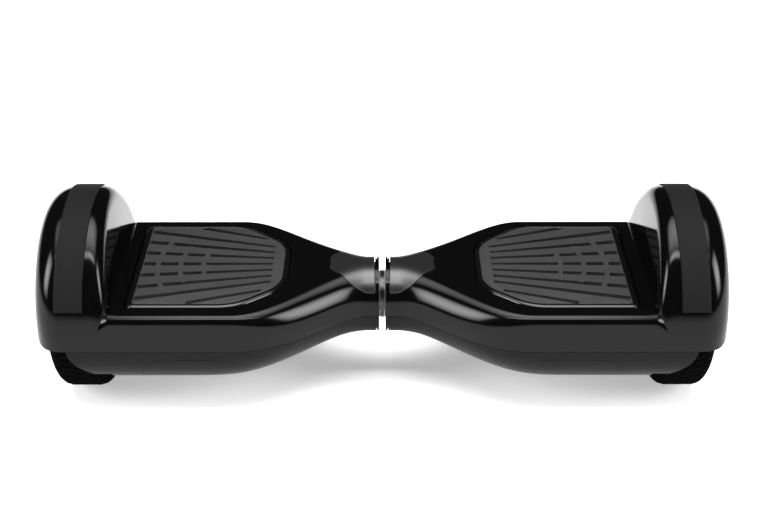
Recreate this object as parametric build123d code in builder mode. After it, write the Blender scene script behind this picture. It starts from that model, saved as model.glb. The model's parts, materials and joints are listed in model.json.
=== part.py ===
from build123d import *

import os
from math import cos, pi, radians, sin

# A two-wheeled self balancing board, in millimetres.
#
# Two mirror-image halves meet on a short tube in the middle. Each half carries a hub-motor wheel in a fender
# and a sprung foot pad. X runs along the board, from the left wheel to the right one, Y runs from front to
# back, and Z is up. The origin is on the ground, under the middle of the board. Each side's pieces are built
# on the +X side, and the left ones are their mirror images.

# Overall
LENGTH = 584
HALF_LENGTH = LENGTH / 2
GAP = 5.6  # between the two necks
WALL = 2.6  # of the plastic covers
SEAM_Z = 75.5  # where the top and bottom covers meet
SEAM_GAP = 0.3
FAR = 400

# Body: its cross-section grows from a round neck to a wide tub
NECK_RADIUS = 32.4
PIVOT_Z = 80
BODY_HALF_WIDTH = 92
DECK_Z = 108
DECK_ROUND = 8
BOTTOM_Z = 34
BOTTOM_HALF_FLAT = 51
WIDEST_Z = 76
FLARE_END_X = 156  # from here out the cross-section is constant
SECTION_STEP = 10.95
DIVE_END_X = 246  # the deck's rounded edges sink into the fender before this

# Wheel and fender
WHEEL_X = 260
WHEEL_RADIUS = 84.5
AXLE_Z = WHEEL_RADIUS
TYRE_WIDTH = 48
TREAD_PADS = 28
CROWN_RADIUS = WHEEL_RADIUS / cos(pi / TREAD_PADS)
FENDER_RADIUS = 92
FENDER_INNER_X = 227.5  # the fender's inner wall, at deck height
FENDER_LEAN = 6  # degrees that this wall leans outwards
FENDER_OUTER_ROUND = 24
FENDER_INNER_ROUND = 12
FENDER_CORNER_ROUND = 10
FENDER_WINDOW_RADIUS = 66
WELL_INNER_X = 230
WELL_OUTER_X = 289
WELL_RADIUS = 89
TIP_X = 265  # how far the bottom cover reaches in front of and behind the tyre
AXLE_SLOT = 11.5
STRIP_X = 257.5
STRIP_HALF_WIDTH = 12
STRIP_RADIUS = 93.5
STRIP_LOW_ANGLE = 17  # degrees above the axle at which the strip ends, front and back

# Foot pad
PAD_OUTER_X = 217
PAD_HALF_WIDTH = 75
PAD_NOSE_X = 81.5
PAD_ROUNDS = (40, 42, 8)  # of its corners, from the nose outwards
PAD_TOP_Z = 110
PAD_TRAVEL = 2
PAD_GAP = 0.5
RIM_WIDTH = 3.4
TRAY_LOW_Z = 98
TRAY_FLOOR_Z = 100.4
PLATE_LOW_Z = TRAY_FLOOR_Z + PAD_TRAVEL + 0.2
MAT_LOW_Z = 105.2
GROOVE_DEPTH = 1.2
GROOVES = ((0, 0), (20.5, 10.8), (41, 21.5), (61, 32))  # Y at the fender end, and Y at the nose end
PLUNGER_X = 148
PLUNGER_Y = 38

# Frame
FRAME_LOW_Z = 88
FRAME_TOP_Z = 92
FRAME_RIB_Z = 80
FRAME_HALF_WIDTH = 68
FRAME_END_X = 222
BOSS_RADIUS = 24
BOSS_NOSE_RADIUS = 20.5
BOSS_NOSE_X = 20
BOSS_END_X = 72
BOSS_FACE_X = 2
TUBE_RADIUS = 15
TUBE_BORE = 11
TUBE_END_X = 76
BUSH_RADIUS = 18
GAP_WASHER_RADIUS = 21
FIT = 0.05  # radial clearance of the running fits
TWIST_LIMIT = 12  # degrees each way
PIN_X = 40
PIN_RADIUS = 3
SADDLE_X = (203, 226)
SADDLE_HALF_WIDTH = 27
SADDLE_TOP_Z = 97
CLAMP_LOW_Z = 72
CLAMP_BOLTS = ((209.5, 19), (220, 19), (209.5, -19), (220, -19))
NECK_LUG_Z = 58
LUG_Z = 84
COVER_SCREWS = ((27, 14), (61, 42), (112, 68), (219, 68))
FRAME_SCREWS = ((98, 42), (176, 58), (208, 58))

# Wheel motor
AXLE_RADIUS = 7.5
RIM_RADIUS = 61
RIM_BORE = 54
BEARING_RADIUS = 14
STATOR_RADIUS = 46
MAGNETS = 30
SLOTS = 27
HUB_BOLT_RADIUS = 48

BATTERY_X = (97, 202)
BATTERY_LOW_Z = 43
BATTERY_TOP_Z = 79

# Lights, on the front, and ports, on the back of the right half
LENS_X = (133, 204)
LENS_Z = (47, 67)
LENS_GAP = 0.3
PORT_Z = 88
CHARGE_X = 198
BUTTON_X = 169
CHARGE_RADIUS = 6.4
BUTTON_RADIUS = 6
BUTTON_TRAVEL = 1.5
CAP_HINGE_Z = PORT_Z + 10.6
CAP_HINGE_Y = BODY_HALF_WIDTH + 2.6

ELLIPSE_HANDLE = 0.5523  # of a Bezier quarter ellipse
SIDES = (1, -1)


def ease(x, start, end, power=1.0):
    """0 up to start, 1 from end on, and a smooth rise between."""
    share = min(max((x - start) / (end - start), 0), 1) ** power
    return sin(pi * share / 2) ** 2


def between(low, high, share):
    return low + (high - low) * share


def across(x, y=0, z=0):
    """A plane at x that faces +X, with its own x along Y and its own y along Z."""
    return Plane(origin=(x, y, z), x_dir=(0, 1, 0), z_dir=(1, 0, 0))


def quarter(start, end, corner):
    """A quarter ellipse from start to end, bulging towards corner."""
    leave = tuple(between(s, c, ELLIPSE_HANDLE) for s, c in zip(start, corner))
    arrive = tuple(between(e, c, ELLIPSE_HANDLE) for e, c in zip(end, corner))
    return Bezier(start, leave, arrive, end)


def section(x, half_width, top_round, top, low, low_flat, widest):
    """One closed cross-section of the body at x: rounded top edges, and a deep round below them."""
    flat = half_width - top_round
    shoulder = top - top_round
    with BuildSketch(across(x)) as outline:
        with BuildLine():
            Line((-low_flat, low), (low_flat, low))
            quarter((low_flat, low), (half_width, widest), (half_width, low))
            Line((half_width, widest), (half_width, shoulder))
            quarter((half_width, shoulder), (flat, top), (half_width, top))
            Line((flat, top), (-flat, top))
            quarter((-flat, top), (-half_width, shoulder), (-half_width, top))
            Line((-half_width, shoulder), (-half_width, widest))
            quarter((-half_width, widest), (-low_flat, low), (-half_width, low))
        make_face()
    return outline.sketch


def flare_section(x, inset):
    """The body's cross-section at x, with its skin moved in by inset."""
    return section(
        x,
        between(NECK_RADIUS, BODY_HALF_WIDTH, ease(x, 14, 126, 0.75)) - inset,
        between(NECK_RADIUS - 2, DECK_ROUND, ease(x, 44, 128, 1.2)) - inset,
        between(PIVOT_Z + NECK_RADIUS, DECK_Z, ease(x, 20, 114, 0.8)) - inset,
        between(PIVOT_Z - NECK_RADIUS, BOTTOM_Z, ease(x, 25, 155)) + inset,
        between(2, BOTTOM_HALF_FLAT, ease(x, 28, 138, 0.8)),
        between(PIVOT_Z - 1, WIDEST_Z, ease(x, 28, 138)),
    )


def body_form(inset, last_x):
    """The half body as one solid, from the neck's end to last_x, with its skin moved in by inset."""
    steps = int((FLARE_END_X - GAP / 2) / SECTION_STEP)
    with BuildPart() as body:
        for step in range(steps + 1):
            add(flare_section(between(GAP / 2, FLARE_END_X, step / steps), inset))
        loft()
        extrude(body.faces().sort_by(Axis.X)[-1], amount=last_x - FLARE_END_X)
    return body.part


def dive_form():
    """The end of the body that sinks into the fender, with its deck edges rounding off more and more."""
    fixed = (BODY_HALF_WIDTH, DECK_Z, BOTTOM_Z, BOTTOM_HALF_FLAT, WIDEST_Z)
    width, top, low, low_flat, widest = fixed
    with BuildPart() as dive:
        add(section(FENDER_INNER_X, width, DECK_ROUND, top, low, low_flat, widest))
        add(section(DIVE_END_X, width, top - widest - 6, top, low, low_flat, widest))
        loft(ruled=True)
    return dive.part


def arch_form(radius, inner_x, outer_x, low_z, outer_round, inner_round):
    """An arch about the axle: a leaning inner wall, a flat outer one, and straight sides down to low_z."""
    lean = radians(FENDER_LEAN)
    wall = Plane(origin=(inner_x, 0, DECK_Z), z_dir=(cos(lean), 0, -sin(lean)))
    with BuildPart() as arch:
        with BuildSketch(across(inner_x - 20, 0, AXLE_Z)):
            Circle(radius)
            Rectangle(2 * radius, radius, align=(Align.CENTER, Align.MAX))
        extrude(amount=outer_x - inner_x + 20)
        split(bisect_by=wall)
        split(bisect_by=Plane.XY.offset(low_z))
        outer_edges = arch.faces().sort_by(Axis.X)[-1].edges().filter_by(lambda e: e.center().Z > low_z + 1)
        fillet(outer_edges, outer_round)
        inner_face = arch.faces().filter_by(lambda f: f.normal_at().X < -0.9)
        inner_edges = inner_face.edges().filter_by(lambda e: e.center().Z > low_z + 1)
        fillet(inner_edges, inner_round)
        split(bisect_by=Plane.YZ.offset(inner_x))
    return arch.part


def outline(corners, rounds, inset):
    """A closed outline through the corners, moved in by inset, with each corner rounded."""
    with BuildSketch() as shape:
        with BuildLine():
            Polyline(*corners, close=True)
        make_face()
        offset(amount=-inset, kind=Kind.INTERSECTION, mode=Mode.REPLACE)
        for (x, y), radius in zip(corners, rounds):
            corner = shape.vertices().sort_by_distance((x, y))[0]
            fillet(corner, radius - inset)
    return shape.sketch


def pad_outline(inset):
    """The foot pad's outline seen from above, from its blunt nose to its straight fender end."""
    half = ((PAD_NOSE_X, 39), (124, PAD_HALF_WIDTH), (PAD_OUTER_X, PAD_HALF_WIDTH))
    corners = half + tuple((x, -y) for x, y in reversed(half))
    return outline(corners, PAD_ROUNDS + PAD_ROUNDS[::-1], inset)


def lens_outline(inset):
    """The light's outline seen from the front."""
    inner_x, outer_x = LENS_X
    low_z, high_z = LENS_Z
    corners = ((inner_x + 10, low_z), (inner_x, high_z), (outer_x - 4, high_z), (outer_x, low_z))
    return outline(corners, (7, 1.5, 16, 1.5), inset)


def collar_outline(inset):
    """The neck collar's outline seen from above."""
    corners = ((6.2, 29), (27, 28.6), (46.5, 14), (46.5, -14), (27, -28.6), (6.2, -29))
    return outline(corners, (1, 12, 14, 14, 12, 1), inset)


def save(name, solid):
    solid.label = name
    export_step(solid, f"parts/{name}.step")


os.makedirs("parts", exist_ok=True)

OUTER_BODY = body_form(0, FENDER_INNER_X)
INNER_BODY = body_form(WALL, FENDER_INNER_X)
TOP_LOW_Z = SEAM_Z + SEAM_GAP / 2
BOTTOM_HIGH_Z = SEAM_Z - SEAM_GAP / 2

# Covers

with BuildPart() as skin:
    add(OUTER_BODY)
    add(INNER_BODY, mode=Mode.SUBTRACT)

with BuildPart() as top_cover:
    add(OUTER_BODY)
    add(dive_form())
    split(bisect_by=Plane.XY.offset(TOP_LOW_Z))
    add(
        arch_form(
            FENDER_RADIUS,
            FENDER_INNER_X,
            HALF_LENGTH,
            TOP_LOW_Z,
            FENDER_OUTER_ROUND,
            FENDER_INNER_ROUND,
        )
    )
    add(INNER_BODY, mode=Mode.SUBTRACT)
    add(
        arch_form(
            WELL_RADIUS,
            WELL_INNER_X,
            WELL_OUTER_X,
            SEAM_Z - 5,
            FENDER_OUTER_ROUND - 3,
            FENDER_INNER_ROUND - 3,
        ),
        mode=Mode.SUBTRACT,
    )
    with BuildSketch(across(WELL_OUTER_X - 4, 0, AXLE_Z)):
        Circle(FENDER_WINDOW_RADIUS)
    extrude(amount=FAR, mode=Mode.SUBTRACT)
    # The fender's lower outer corners
    with BuildSketch(Plane.XZ):
        with BuildLine():
            RadiusArc(
                (HALF_LENGTH, TOP_LOW_Z + FENDER_CORNER_ROUND),
                (HALF_LENGTH - FENDER_CORNER_ROUND, TOP_LOW_Z),
                FENDER_CORNER_ROUND,
            )
            Polyline(
                (HALF_LENGTH - FENDER_CORNER_ROUND, TOP_LOW_Z),
                (HALF_LENGTH - FENDER_CORNER_ROUND, TOP_LOW_Z - 5),
                (HALF_LENGTH + 5, TOP_LOW_Z - 5),
                (HALF_LENGTH + 5, TOP_LOW_Z + FENDER_CORNER_ROUND),
                (HALF_LENGTH, TOP_LOW_Z + FENDER_CORNER_ROUND),
            )
        make_face()
    extrude(amount=FAR, both=True, mode=Mode.SUBTRACT)
    # A way out for the axle, and the ring around the neck's end
    with BuildSketch(across(FENDER_INNER_X - 3, 0, AXLE_Z)):
        Circle(AXLE_SLOT)
        Rectangle(2 * AXLE_SLOT, 40, align=(Align.CENTER, Align.MAX))
    extrude(amount=6, mode=Mode.SUBTRACT)
    with BuildSketch(across(4.6, 0, PIVOT_Z)):
        Circle(NECK_RADIUS + 8)
        Circle(NECK_RADIUS - 0.9, mode=Mode.SUBTRACT)
    extrude(amount=0.8, mode=Mode.SUBTRACT)
    # The collar's opening
    with BuildSketch(Plane.XY.offset(PIVOT_Z + 1)):
        add(collar_outline(0))
    extrude(amount=FAR, mode=Mode.SUBTRACT)
    # The tray that the foot pad sinks into
    with BuildSketch(Plane.XY.offset(TRAY_LOW_Z)):
        add(pad_outline(-PAD_GAP - 2.4))
    extrude(amount=DECK_Z - TRAY_LOW_Z - 1)
    with BuildSketch(Plane.XY.offset(TRAY_FLOOR_Z)):
        add(pad_outline(-PAD_GAP))
    extrude(amount=FAR, mode=Mode.SUBTRACT)
    with BuildSketch(Plane.XY.offset(TRAY_LOW_Z)):
        with Locations((PLUNGER_X, PLUNGER_Y), (PLUNGER_X, -PLUNGER_Y)):
            Circle(6.5)
    extrude(amount=FAR, mode=Mode.SUBTRACT)
    with BuildSketch(Plane.XY.offset(FRAME_TOP_Z)):
        for x, y in FRAME_SCREWS:
            with Locations((x, y), (x, -y)):
                Circle(4.5)
                Circle(1.4, mode=Mode.SUBTRACT)
    extrude(amount=TRAY_LOW_Z - FRAME_TOP_Z)

with BuildPart() as bottom_posts:
    for index, (x, y) in enumerate(COVER_SCREWS):
        top_z = NECK_LUG_Z if index == 0 else LUG_Z
        with BuildSketch(Plane.XY.offset(BOTTOM_Z - 1)):
            with Locations((x, y), (x, -y)):
                Circle(4.6)
        extrude(amount=top_z - BOTTOM_Z + 0.95)
    add(body_form(1, FENDER_INNER_X), mode=Mode.INTERSECT)

with BuildPart() as bottom_cover:
    add(OUTER_BODY)
    extrude(bottom_cover.faces().sort_by(Axis.X)[-1], amount=TIP_X - FENDER_INNER_X)
    split(bisect_by=Plane.XY.offset(BOTTOM_HIGH_Z), keep=Keep.BOTTOM)
    add(INNER_BODY, mode=Mode.SUBTRACT)
    with BuildSketch(across(WELL_INNER_X, 0, AXLE_Z)):
        Circle(WELL_RADIUS)
    extrude(amount=FAR, mode=Mode.SUBTRACT)
    # The tips in front of and behind the tyre curve back under it
    with BuildSketch(Plane.XZ):
        with BuildLine():
            Bezier((TIP_X, BOTTOM_HIGH_Z), (TIP_X - 1, 62), (246, 45), (WELL_INNER_X, 40))
            Polyline((WELL_INNER_X, 40), (WELL_INNER_X, 0), (TIP_X + 9, 0), (TIP_X + 9, BOTTOM_HIGH_Z))
            Line((TIP_X + 9, BOTTOM_HIGH_Z), (TIP_X, BOTTOM_HIGH_Z))
        make_face()
    extrude(amount=FAR, both=True, mode=Mode.SUBTRACT)
    with BuildSketch(across(4.6, 0, PIVOT_Z)):
        Circle(NECK_RADIUS + 8)
        Circle(NECK_RADIUS - 0.9, mode=Mode.SUBTRACT)
    extrude(amount=0.8, mode=Mode.SUBTRACT)
    with BuildSketch(Plane.XZ):
        add(lens_outline(0))
    extrude(amount=FAR, mode=Mode.SUBTRACT)
    add(bottom_posts.part)
    # Ribs that the battery rests on
    with BuildSketch(Plane.XY.offset(BOTTOM_Z + 1)):
        with Locations((122, 0), (180, 0)):
            Rectangle(3, 84)
    extrude(amount=BATTERY_LOW_Z - BOTTOM_Z - 1)
    for index, (x, y) in enumerate(COVER_SCREWS):
        seat_z = (NECK_LUG_Z if index == 0 else LUG_Z) - 5
        with BuildSketch(Plane.XY):
            with Locations((x, y), (x, -y)):
                Circle(3.4)
        extrude(amount=seat_z, mode=Mode.SUBTRACT)
        with BuildSketch(Plane.XY):
            with Locations((x, y), (x, -y)):
                Circle(1.7)
        extrude(amount=FAR, mode=Mode.SUBTRACT)

with BuildPart() as cover_screws:
    for index, (x, y) in enumerate(COVER_SCREWS):
        seat_z = (NECK_LUG_Z if index == 0 else LUG_Z) - 5
        with BuildSketch(Plane.XY.offset(seat_z - 2.2)):
            with Locations((x, y), (x, -y)):
                Circle(3)
                RegularPolygon(1.4, 6, mode=Mode.SUBTRACT)
        extrude(amount=2.2)
        with BuildSketch(Plane.XY.offset(seat_z - 0.6)):
            with Locations((x, y), (x, -y)):
                Circle(1.5)
        extrude(amount=8.6)

with BuildPart() as collar_trim:
    with BuildSketch(Plane.XY.offset(PIVOT_Z + 1)):
        add(collar_outline(0.35))
    extrude(amount=FAR)
    add(skin.part, mode=Mode.INTERSECT)

with BuildPart() as led_lens:
    with BuildSketch(Plane.XZ):
        add(lens_outline(LENS_GAP))
    extrude(amount=FAR)
    add(skin.part, mode=Mode.INTERSECT)

LED_PLANE = Plane(origin=(168, -78, 56.5), x_dir=(1, 0, 0), z_dir=(0, -cos(radians(27)), -sin(radians(27))))
with BuildPart() as led_board:
    with BuildSketch(LED_PLANE):
        RectangleRounded(62, 13, 1.5)
    extrude(amount=1.6)
    with BuildSketch(LED_PLANE.offset(1.6)):
        with GridLocations(7, 5, 8, 2):
            Rectangle(3, 3)
    extrude(amount=0.9)

with BuildPart() as fender_bumper:
    with BuildSketch(Plane.XZ):
        with BuildLine():
            low_x = STRIP_X - STRIP_HALF_WIDTH
            high_x = STRIP_X + STRIP_HALF_WIDTH
            base_z = AXLE_Z + FENDER_RADIUS
            rim_z = AXLE_Z + STRIP_RADIUS
            Polyline(
                (low_x, base_z),
                (low_x, base_z + 0.5),
                (low_x + 1.6, rim_z),
                (high_x - 1.6, rim_z),
                (high_x, base_z + 0.5),
                (high_x, base_z),
                (low_x, base_z),
            )
        make_face()
    revolve(axis=Axis((0, 0, AXLE_Z), (1, 0, 0)), revolution_arc=360)
    for side in SIDES:
        with BuildSketch(Plane.YZ):
            with BuildLine():
                reach = radians(STRIP_LOW_ANGLE)
                Polyline(
                    (0, AXLE_Z),
                    (side * 200 * cos(reach), AXLE_Z + 200 * sin(reach)),
                    (side * 200, -FAR),
                    (0, -FAR),
                    (0, AXLE_Z),
                )
            make_face()
        extrude(amount=FAR, mode=Mode.SUBTRACT)

# Foot pad

with BuildPart() as pedal_plate:
    with BuildSketch(Plane.XY.offset(PLATE_LOW_Z)):
        add(pad_outline(0))
    extrude(amount=PAD_TOP_Z - 0.5 - PLATE_LOW_Z)
    with BuildSketch(Plane.XY.offset(MAT_LOW_Z)):
        add(pad_outline(RIM_WIDTH))
    extrude(amount=FAR, mode=Mode.SUBTRACT)
    with BuildSketch(Plane.XY.offset(FRAME_LOW_Z - 1)):
        with Locations((PLUNGER_X, PLUNGER_Y), (PLUNGER_X, -PLUNGER_Y)):
            Circle(3)
    extrude(amount=PLATE_LOW_Z - FRAME_LOW_Z + 1)
    with BuildSketch(Plane.XY.offset(FRAME_TOP_Z + 4)):
        with Locations((PLUNGER_X, PLUNGER_Y), (PLUNGER_X, -PLUNGER_Y)):
            Circle(5)
    extrude(amount=PLATE_LOW_Z - FRAME_TOP_Z - 4)

with BuildPart() as foot_mat:
    with BuildSketch(Plane.XY.offset(MAT_LOW_Z)):
        add(pad_outline(RIM_WIDTH + 0.2))
    extrude(amount=PAD_TOP_Z - MAT_LOW_Z)
    chamfer(foot_mat.faces().sort_by(Axis.Z)[-1].edges(), 0.6)
    with BuildSketch(Plane.XY.offset(PAD_TOP_Z - GROOVE_DEPTH)):
        for outer_y, inner_y in GROOVES:
            for side in SIDES[: 2 if outer_y else 1]:
                with BuildLine(mode=Mode.PRIVATE) as bar:
                    Polyline(
                        (208, side * outer_y - 2.4),
                        (208, side * outer_y + 2.4),
                        (97, side * inner_y + 1.3),
                        (97, side * inner_y - 1.3),
                        (208, side * outer_y - 2.4),
                    )
                add(bar.line)
                make_face()
    extrude(amount=FAR, mode=Mode.SUBTRACT)

# Frame

with BuildPart() as frame:
    with BuildSketch(Plane.XY.offset(FRAME_LOW_Z)):
        with BuildLine():
            Polyline(
                (46, 24),
                (96, 60),
                (112, FRAME_HALF_WIDTH),
                (FRAME_END_X, FRAME_HALF_WIDTH),
                (FRAME_END_X, -FRAME_HALF_WIDTH),
                (112, -FRAME_HALF_WIDTH),
                (96, -60),
                (46, -24),
                (46, 24),
            )
        make_face()
    extrude(amount=FRAME_TOP_Z - FRAME_LOW_Z)
    with BuildSketch(Plane.XY.offset(FRAME_RIB_Z)):
        for side in SIDES:
            with Locations((162, side * 52)):
                Rectangle(112, 4)
        with Locations((108, 0), (198, 0)):
            Rectangle(4, 108)
    extrude(amount=FRAME_LOW_Z - FRAME_RIB_Z)
    for x, y in COVER_SCREWS[1:]:
        with BuildSketch(Plane.XY.offset(LUG_Z)):
            with Locations((x, y), (x, -y)):
                Circle(6)
        extrude(amount=FRAME_TOP_Z - LUG_Z)
    with BuildSketch(Plane.XY.offset(NECK_LUG_Z)):
        with Locations((COVER_SCREWS[0][0], 0)):
            RectangleRounded(12, 2 * COVER_SCREWS[0][1] + 9, 3)
    extrude(amount=PIVOT_Z - NECK_LUG_Z)
    with BuildSketch(across(BOSS_NOSE_X, 0, PIVOT_Z)):
        Circle(BOSS_RADIUS)
    extrude(amount=BOSS_END_X - BOSS_NOSE_X)
    with BuildSketch(across(BOSS_FACE_X, 0, PIVOT_Z)):
        Circle(BOSS_NOSE_RADIUS)
    extrude(amount=BOSS_NOSE_X - BOSS_FACE_X)
    with BuildSketch(across(BOSS_FACE_X, 0, PIVOT_Z)):
        Circle(BUSH_RADIUS)
    extrude(amount=BOSS_END_X - BOSS_FACE_X, mode=Mode.SUBTRACT)
    with BuildSketch(across(BOSS_END_X, 0, PIVOT_Z)):
        Circle(BUSH_RADIUS + 2)
    extrude(amount=30, mode=Mode.SUBTRACT)
    # The limit pin's slot
    with BuildSketch(across(PIN_X - PIN_RADIUS - 0.3, 0, PIVOT_Z)):
        with BuildLine():
            reach = radians(TWIST_LIMIT + 10.5)
            wide = 40 * sin(reach)
            high = 40 * cos(reach)
            Polyline((0, 0), (wide, high), (-wide, high), (0, 0))
        make_face()
    extrude(amount=2 * PIN_RADIUS + 0.6, mode=Mode.SUBTRACT)
    # The saddle that the axle is clamped up into
    with BuildSketch(Plane.XY.offset(AXLE_Z + 0.1)):
        with Locations(((SADDLE_X[0] + SADDLE_X[1]) / 2, 0)):
            Rectangle(SADDLE_X[1] - SADDLE_X[0], 2 * SADDLE_HALF_WIDTH)
    extrude(amount=SADDLE_TOP_Z - AXLE_Z - 0.1)
    with BuildSketch(across(SADDLE_X[0], 0, AXLE_Z)):
        Circle(AXLE_RADIUS)
    extrude(amount=FAR, mode=Mode.SUBTRACT)
    with BuildSketch(Plane.XY.offset(AXLE_Z)):
        with Locations(*CLAMP_BOLTS):
            Circle(2)
    extrude(amount=9.5, mode=Mode.SUBTRACT)
    with BuildSketch(Plane.XY.offset(FRAME_LOW_Z - 10)):
        with Locations((PLUNGER_X, PLUNGER_Y), (PLUNGER_X, -PLUNGER_Y)):
            Circle(6.5)
        for x, y in FRAME_SCREWS:
            with Locations((x, y), (x, -y)):
                Circle(1.6)
    extrude(amount=FAR, mode=Mode.SUBTRACT)
    for index, (x, y) in enumerate(COVER_SCREWS):
        lug_z = NECK_LUG_Z if index == 0 else LUG_Z
        with BuildSketch(Plane.XY.offset(lug_z)):
            with Locations((x, y), (x, -y)):
                Circle(1.5)
        extrude(amount=3.6, mode=Mode.SUBTRACT)
    # Legs for the gyro board
    with BuildSketch(Plane.XY.offset(83.6)):
        with Locations((PLUNGER_X, 0)):
            with GridLocations(34, 60, 2, 2):
                Circle(2.5)
    extrude(amount=FRAME_LOW_Z - 83.6)

with BuildPart() as frame_screws:
    with BuildSketch(Plane.XY.offset(FRAME_LOW_Z - 2)):
        for x, y in FRAME_SCREWS:
            with Locations((x, y), (x, -y)):
                Circle(2.8)
                RegularPolygon(1.3, 6, mode=Mode.SUBTRACT)
    extrude(amount=2)
    with BuildSketch(Plane.XY.offset(FRAME_LOW_Z - 0.6)):
        for x, y in FRAME_SCREWS:
            with Locations((x, y), (x, -y)):
                Circle(1.4)
    extrude(amount=TRAY_LOW_Z - FRAME_LOW_Z)

with BuildPart() as axle_clamp:
    with BuildSketch(Plane.XY.offset(CLAMP_LOW_Z)):
        with Locations(((SADDLE_X[0] + SADDLE_X[1]) / 2, 0)):
            RectangleRounded(SADDLE_X[1] - SADDLE_X[0] - 1, 2 * SADDLE_HALF_WIDTH, 3)
    extrude(amount=AXLE_Z - 0.1 - CLAMP_LOW_Z)
    with BuildSketch(across(SADDLE_X[0] - 9, 0, AXLE_Z)):
        Circle(AXLE_RADIUS)
    extrude(amount=FAR, mode=Mode.SUBTRACT)
    with BuildSketch(Plane.XY.offset(CLAMP_LOW_Z)):
        with Locations(*CLAMP_BOLTS):
            Circle(2.2)
    extrude(amount=FAR, mode=Mode.SUBTRACT)

with BuildPart() as clamp_bolts:
    with BuildSketch(Plane.XY.offset(CLAMP_LOW_Z - 3.6)):
        with Locations(*CLAMP_BOLTS):
            Circle(3.6)
            RegularPolygon(1.9, 6, mode=Mode.SUBTRACT)
    extrude(amount=3.6)
    with BuildSketch(Plane.XY.offset(CLAMP_LOW_Z - 1)):
        with Locations(*CLAMP_BOLTS):
            Circle(2)
    extrude(amount=AXLE_Z + 9 - CLAMP_LOW_Z + 1)

# Wheel

def turned(points):
    """A solid of revolution about the axle, from points of (x, radius)."""
    with BuildPart() as lathe:
        with BuildSketch(Plane.XZ):
            with BuildLine():
                Polyline(*[(x, AXLE_Z + radius) for x, radius in points], close=True)
            make_face()
        revolve(axis=Axis((0, 0, AXLE_Z), (1, 0, 0)))
    return lathe.part


with BuildPart() as motor_axle:
    add(
        turned(
            (
                (203.5, 0),
                (203.5, AXLE_RADIUS - 0.8),
                (204.3, AXLE_RADIUS),
                (248, AXLE_RADIUS),
                (248, 9.5),
                (272, 9.5),
                (272, 6),
                (279, 6),
                (279, 0),
            )
        )
    )

with BuildPart() as motor_stator:
    with BuildSketch(across(251, 0, AXLE_Z)):
        Circle(STATOR_RADIUS)
        Circle(9.5, mode=Mode.SUBTRACT)
        with PolarLocations(19, 6):
            Circle(4.5, mode=Mode.SUBTRACT)
        with PolarLocations(35.5, SLOTS):
            Rectangle(17, 4.4, mode=Mode.SUBTRACT)
        with PolarLocations(45, SLOTS):
            Rectangle(6, 1.6, mode=Mode.SUBTRACT)
    extrude(amount=18)

with BuildPart() as motor_windings:
    with BuildSketch(across(248, 0, AXLE_Z)):
        with PolarLocations(35.5, SLOTS):
            Rectangle(15, 3.6)
    extrude(amount=24)

with BuildPart() as motor_magnets:
    with BuildSketch(across(250.5, 0, AXLE_Z)):
        Circle(RIM_BORE - 0.1)
        Circle(STATOR_RADIUS + 1, mode=Mode.SUBTRACT)
        with PolarLocations(RIM_BORE - 3, MAGNETS):
            Rectangle(10, 1, mode=Mode.SUBTRACT)
    extrude(amount=19)

with BuildPart() as motor_rim:
    add(
        turned(
            (
                (239.5, BEARING_RADIUS),
                (239.5, 22),
                (241.5, 24),
                (241.5, 56),
                (239.5, RIM_RADIUS + 3),
                (243, RIM_RADIUS + 3),
                (244.5, RIM_RADIUS),
                (275.5, RIM_RADIUS),
                (277, RIM_RADIUS + 3),
                (280.5, RIM_RADIUS + 3),
                (280.5, RIM_RADIUS - 1),
                (278, RIM_RADIUS - 3),
                (278, RIM_BORE),
                (245, RIM_BORE),
                (245, 18),
                (247, 17),
                (247, BEARING_RADIUS),
            )
        )
    )

with BuildPart() as hub_cover:
    add(
        turned(
            (
                (273, BEARING_RADIUS - 2),
                (273, 15),
                (275, 18),
                (275.4, RIM_BORE - 0.3),
                (278.1, RIM_BORE - 0.3),
                (278.1, RIM_RADIUS - 3.2),
                (280, RIM_RADIUS - 4),
                (281.4, 42),
                (283.4, 38),
                (283.8, 24),
                (285, 20),
                (285, 0),
                (280, 0),
                (280, BEARING_RADIUS - 2),
            )
        )
    )
    with BuildSketch(across(279.5, 0, AXLE_Z)):
        with PolarLocations(HUB_BOLT_RADIUS, 6, start_angle=30):
            Circle(4)
    extrude(amount=FAR, mode=Mode.SUBTRACT)
    with BuildSketch(across(276, 0, AXLE_Z)):
        with PolarLocations(HUB_BOLT_RADIUS, 6, start_angle=30):
            Circle(2)
    extrude(amount=9, mode=Mode.SUBTRACT)

with BuildPart() as hub_bolts:
    with BuildSketch(across(279.5, 0, AXLE_Z)):
        with PolarLocations(HUB_BOLT_RADIUS, 6, start_angle=30):
            Circle(3.4)
            RegularPolygon(1.8, 6, mode=Mode.SUBTRACT)
    extrude(amount=2.6)
    with BuildSketch(across(276.5, 0, AXLE_Z)):
        with PolarLocations(HUB_BOLT_RADIUS, 6, start_angle=30):
            Circle(1.9)
    extrude(amount=4)

with BuildPart() as wheel_bearings:
    for low_x, high_x, bore, radius in (
        (240, 247, AXLE_RADIUS + FIT, BEARING_RADIUS),
        (273.2, 279.4, 6 + FIT, BEARING_RADIUS - 2),
    ):
        add(turned(((low_x, bore), (low_x, radius), (high_x, radius), (high_x, bore))))

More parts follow.
